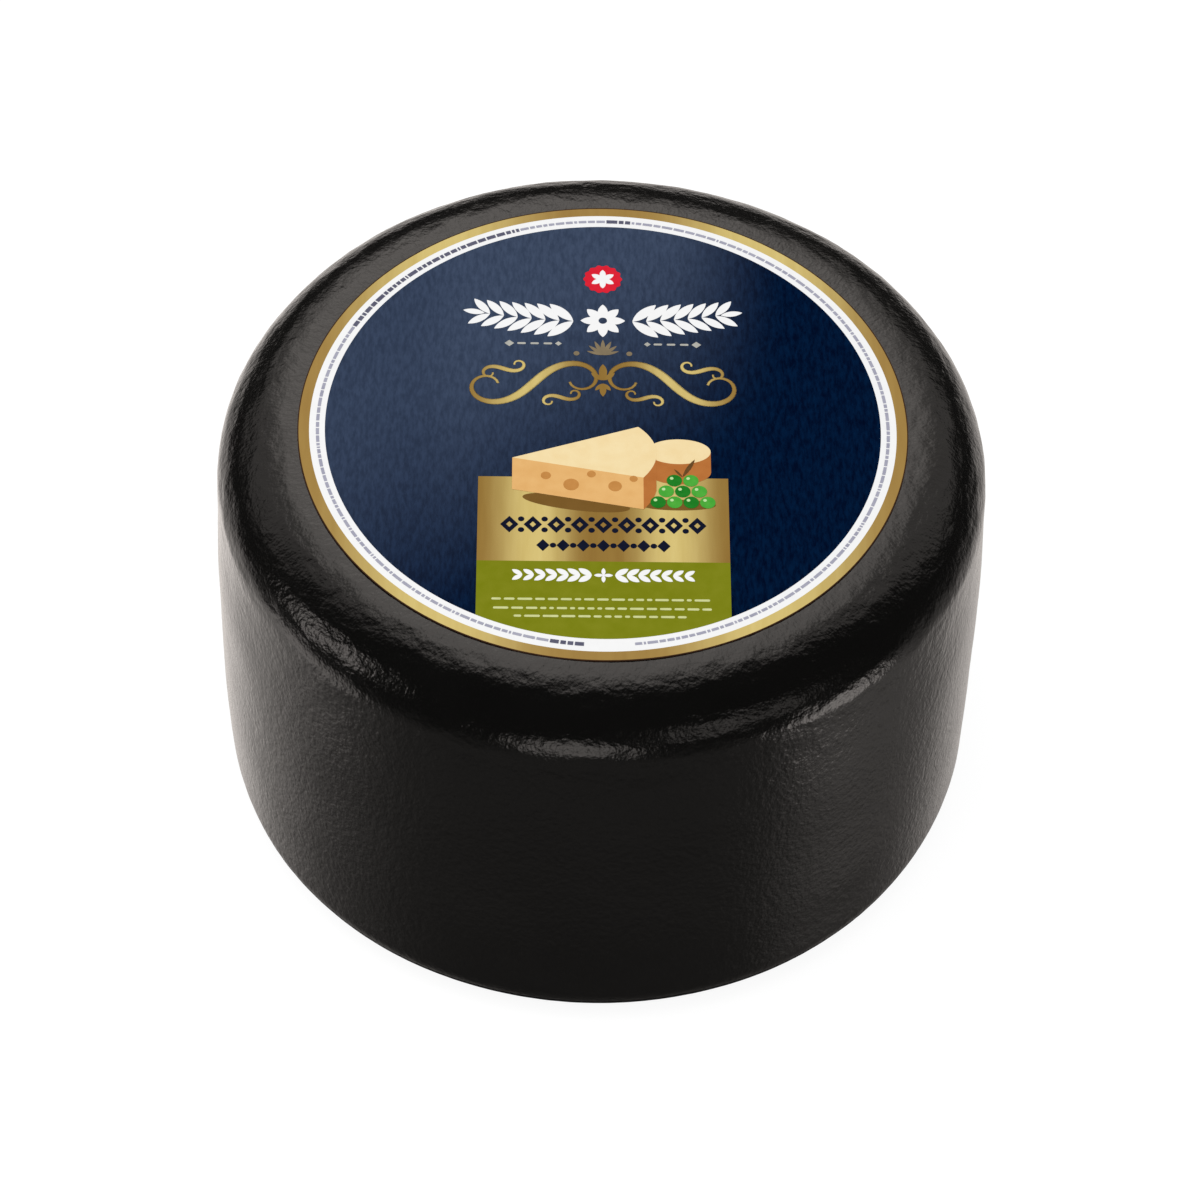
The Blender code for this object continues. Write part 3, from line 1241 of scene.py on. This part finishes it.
# %% Wedge of cheese
WEDGE_TIP = Vector((-27.0 * MM, -13.5 * MM, 0.0))
WEDGE_LENGTH = 43.0 * MM
WEDGE_OPENING = math.radians(27.0)
WEDGE_FLATTENING = 0.52
WEDGE_THICKNESS = 12.5 * MM
WEDGE_TURN = math.radians(4.0)
WEDGE_SIDES = 96
WEDGE_FACING = -0.15

# The cut side is one large face, and each face of the rind is smaller than this
CUT_SIDE_AREA = 60.0 * MM * MM

cream_print = spotted_print("cream_print", (244, 216, 160), (252, 232, 184), 4.0 * MM)
butter_print = spotted_print("butter_print", (226, 172, 104), (240, 192, 126), 4.0 * MM)
rind_print = spotted_print("rind_print", (176, 104, 50), (198, 126, 66), 4.0 * MM)
hole_print = spotted_print("hole_print", (190, 130, 66), (208, 148, 82), 2.0 * MM)
grape_print = spotted_print("grape_print", (18, 112, 30), (44, 140, 46), 2.0 * MM)
light_grape_print = spotted_print("light_grape_print", (58, 158, 50), (92, 184, 70), 2.0 * MM)
shine_print = spotted_print("shine_print", (178, 222, 150), (206, 238, 180), 1.0 * MM)
stem_print = spotted_print("stem_print", (92, 64, 34), (120, 86, 48), 1.0 * MM)
shade_print = spotted_print("shade_print", (116, 84, 38), (130, 96, 46), 4.0 * MM)


def extrude_down(piece, facing, drop_by):
    """Pulls the edges whose outward direction has a Y below facing straight down the sheet."""
    make_active(piece)
    set_mode("EDIT")
    bpy.ops.mesh.select_mode(type="EDGE")
    bpy.ops.mesh.select_all(action="DESELECT")
    set_mode("OBJECT")
    points = [vertex.co.copy() for vertex in piece.data.vertices]
    middle = sum(points, Vector()) / len(points)
    for edge in piece.data.edges:
        first, second = (points[number] for number in edge.vertices)
        outward = Vector((second.y - first.y, first.x - second.x, 0.0)).normalized()
        if outward.dot(0.5 * (first + second) - middle) < 0.0:
            outward = -outward
        edge.select = outward.y < facing
    set_mode("EDIT")
    bpy.ops.mesh.extrude_edges_move(TRANSFORM_OT_translate={"value": (0.0, -drop_by, 0.0)})
    bpy.ops.mesh.select_all(action="SELECT")
    bpy.ops.mesh.normals_make_consistent(inside=False)
    set_mode("OBJECT")


def face_up(piece):
    """Turns every face of a flat drawing towards the reader."""
    bpy.context.view_layer.update()
    for face in piece.data.polygons:
        if face.normal.z < 0.0:
            face.flip()


wedge = flat_circle(WEDGE_LENGTH, sides=WEDGE_SIDES)
back = -math.sin(WEDGE_OPENING)
out = math.cos(WEDGE_OPENING)
cut_away((0.0, 0.0, back, out), (0.0, 0.0, back, -out))
flattened = Matrix.Diagonal((1.0, WEDGE_FLATTENING, 1.0, 1.0))
wedge.data.transform(Matrix.Translation(WEDGE_TIP) @ Matrix.Rotation(WEDGE_TURN, 4, "Z") @ flattened)
top_faces = len(wedge.data.polygons)
extrude_down(wedge, WEDGE_FACING, WEDGE_THICKNESS)
face_up(wedge)
take_inks(wedge, cream_print, butter_print, rind_print)
for face in wedge.data.polygons:
    if face.index >= top_faces:
        face.material_index = 1 if face.area > CUT_SIDE_AREA else 2
raise_ink(wedge, 3)
finish_print(new_piece("drawn_wedge"))

# %% Holes in the wedge
# Each hole in millimetres: across, up and radius
HOLES = (
    (-17.0, -20.5, 1.5),
    (-9.5, -24.0, 2.3),
    (-3.5, -19.8, 1.3),
    (3.5, -24.5, 2.0),
    (9.0, -21.5, 1.2),
)

holes = [flat_circle(radius * MM, x * MM, y * MM) for x, y, radius in HOLES]
in_ink("wedge_holes", holes, hole_print, layer=4)

# %% Small round cheese
ROUND_MIDDLE = Vector((22.5 * MM, -10.5 * MM, 0.0))
ROUND_RADIUS = 9.5 * MM
ROUND_THICKNESS = 8.0 * MM
ROUND_SIDES = 64
ROUND_FACING = -0.02

small_round = flat_circle(ROUND_RADIUS, sides=ROUND_SIDES)
small_round.data.transform(Matrix.Translation(ROUND_MIDDLE) @ flattened)
extrude_down(small_round, ROUND_FACING, ROUND_THICKNESS)
face_up(small_round)
take_inks(small_round, cream_print, rind_print)
for face in small_round.data.polygons:
    face.material_index = 0 if len(face.vertices) > 4 else 1
raise_ink(small_round, 2)
finish_print(new_piece("drawn_round"))

# %% Green grapes
GRAPE_RADIUS = 2.3 * MM
GRAPE_ROWS = (4, 3, 2)
GRAPE_PITCH = 2.12 * GRAPE_RADIUS
ROW_RISE = 1.86 * GRAPE_RADIUS
PILE_MIDDLE = 23.5 * MM
PILE_FOOT = -30.6 * MM
SHINE_RADIUS = 0.55 * MM
SHINE_SHIFT = 0.8 * MM
STEM_LEAF = (8.0 * MM, 1.3 * MM)
STEM_FOOT = PILE_FOOT + ROW_RISE * (len(GRAPE_ROWS) - 1) + 1.4 * MM

grapes = []
shines = []
for row, count in enumerate(GRAPE_ROWS):
    y = PILE_FOOT + ROW_RISE * row
    for step, place in enumerate(row_places(count, GRAPE_PITCH)):
        x = PILE_MIDDLE + place
        grape = flat_circle(GRAPE_RADIUS, x, y)
        grape.data.materials.append(light_grape_print if (step + row) % 2 else grape_print)
        grapes.append(grape)
        shines.append(flat_circle(SHINE_RADIUS, x - SHINE_SHIFT, y + SHINE_SHIFT, sides=12))
fan_out(grapes)
pile = joined("drawn_grapes", grapes)
raise_ink(pile, 4)
finish_print(pile)
in_ink("grape_shines", shines, shine_print, layer=6)
stem = flat_leaf(*STEM_LEAF)
stems = [stamp(stem, PILE_MIDDLE, STEM_FOOT, 62.0), stamp(stem, PILE_MIDDLE, STEM_FOOT, 128.0, 0.5)]
drop(stem)
in_ink("grape_stem", stems, stem_print, layer=5)
print("grapes:", len(grapes))

# %% Shade under the food
SHADE_HALF_WIDTH = 16.0 * MM
SHADE_HALF_DEPTH = 3.0 * MM

shade_round = flat_circle(1.0, sides=48)
shade_round.data.transform(Matrix.Diagonal((SHADE_HALF_WIDTH, SHADE_HALF_DEPTH, 1.0, 1.0)))
shades = [
    stamp(shade_round, -8.0 * MM, -31.0 * MM, turn=-8.0),
    stamp(shade_round, 22.0 * MM, -31.6 * MM, size=0.7),
]
drop(shade_round)
in_ink("drawn_shade", shades, shade_print)
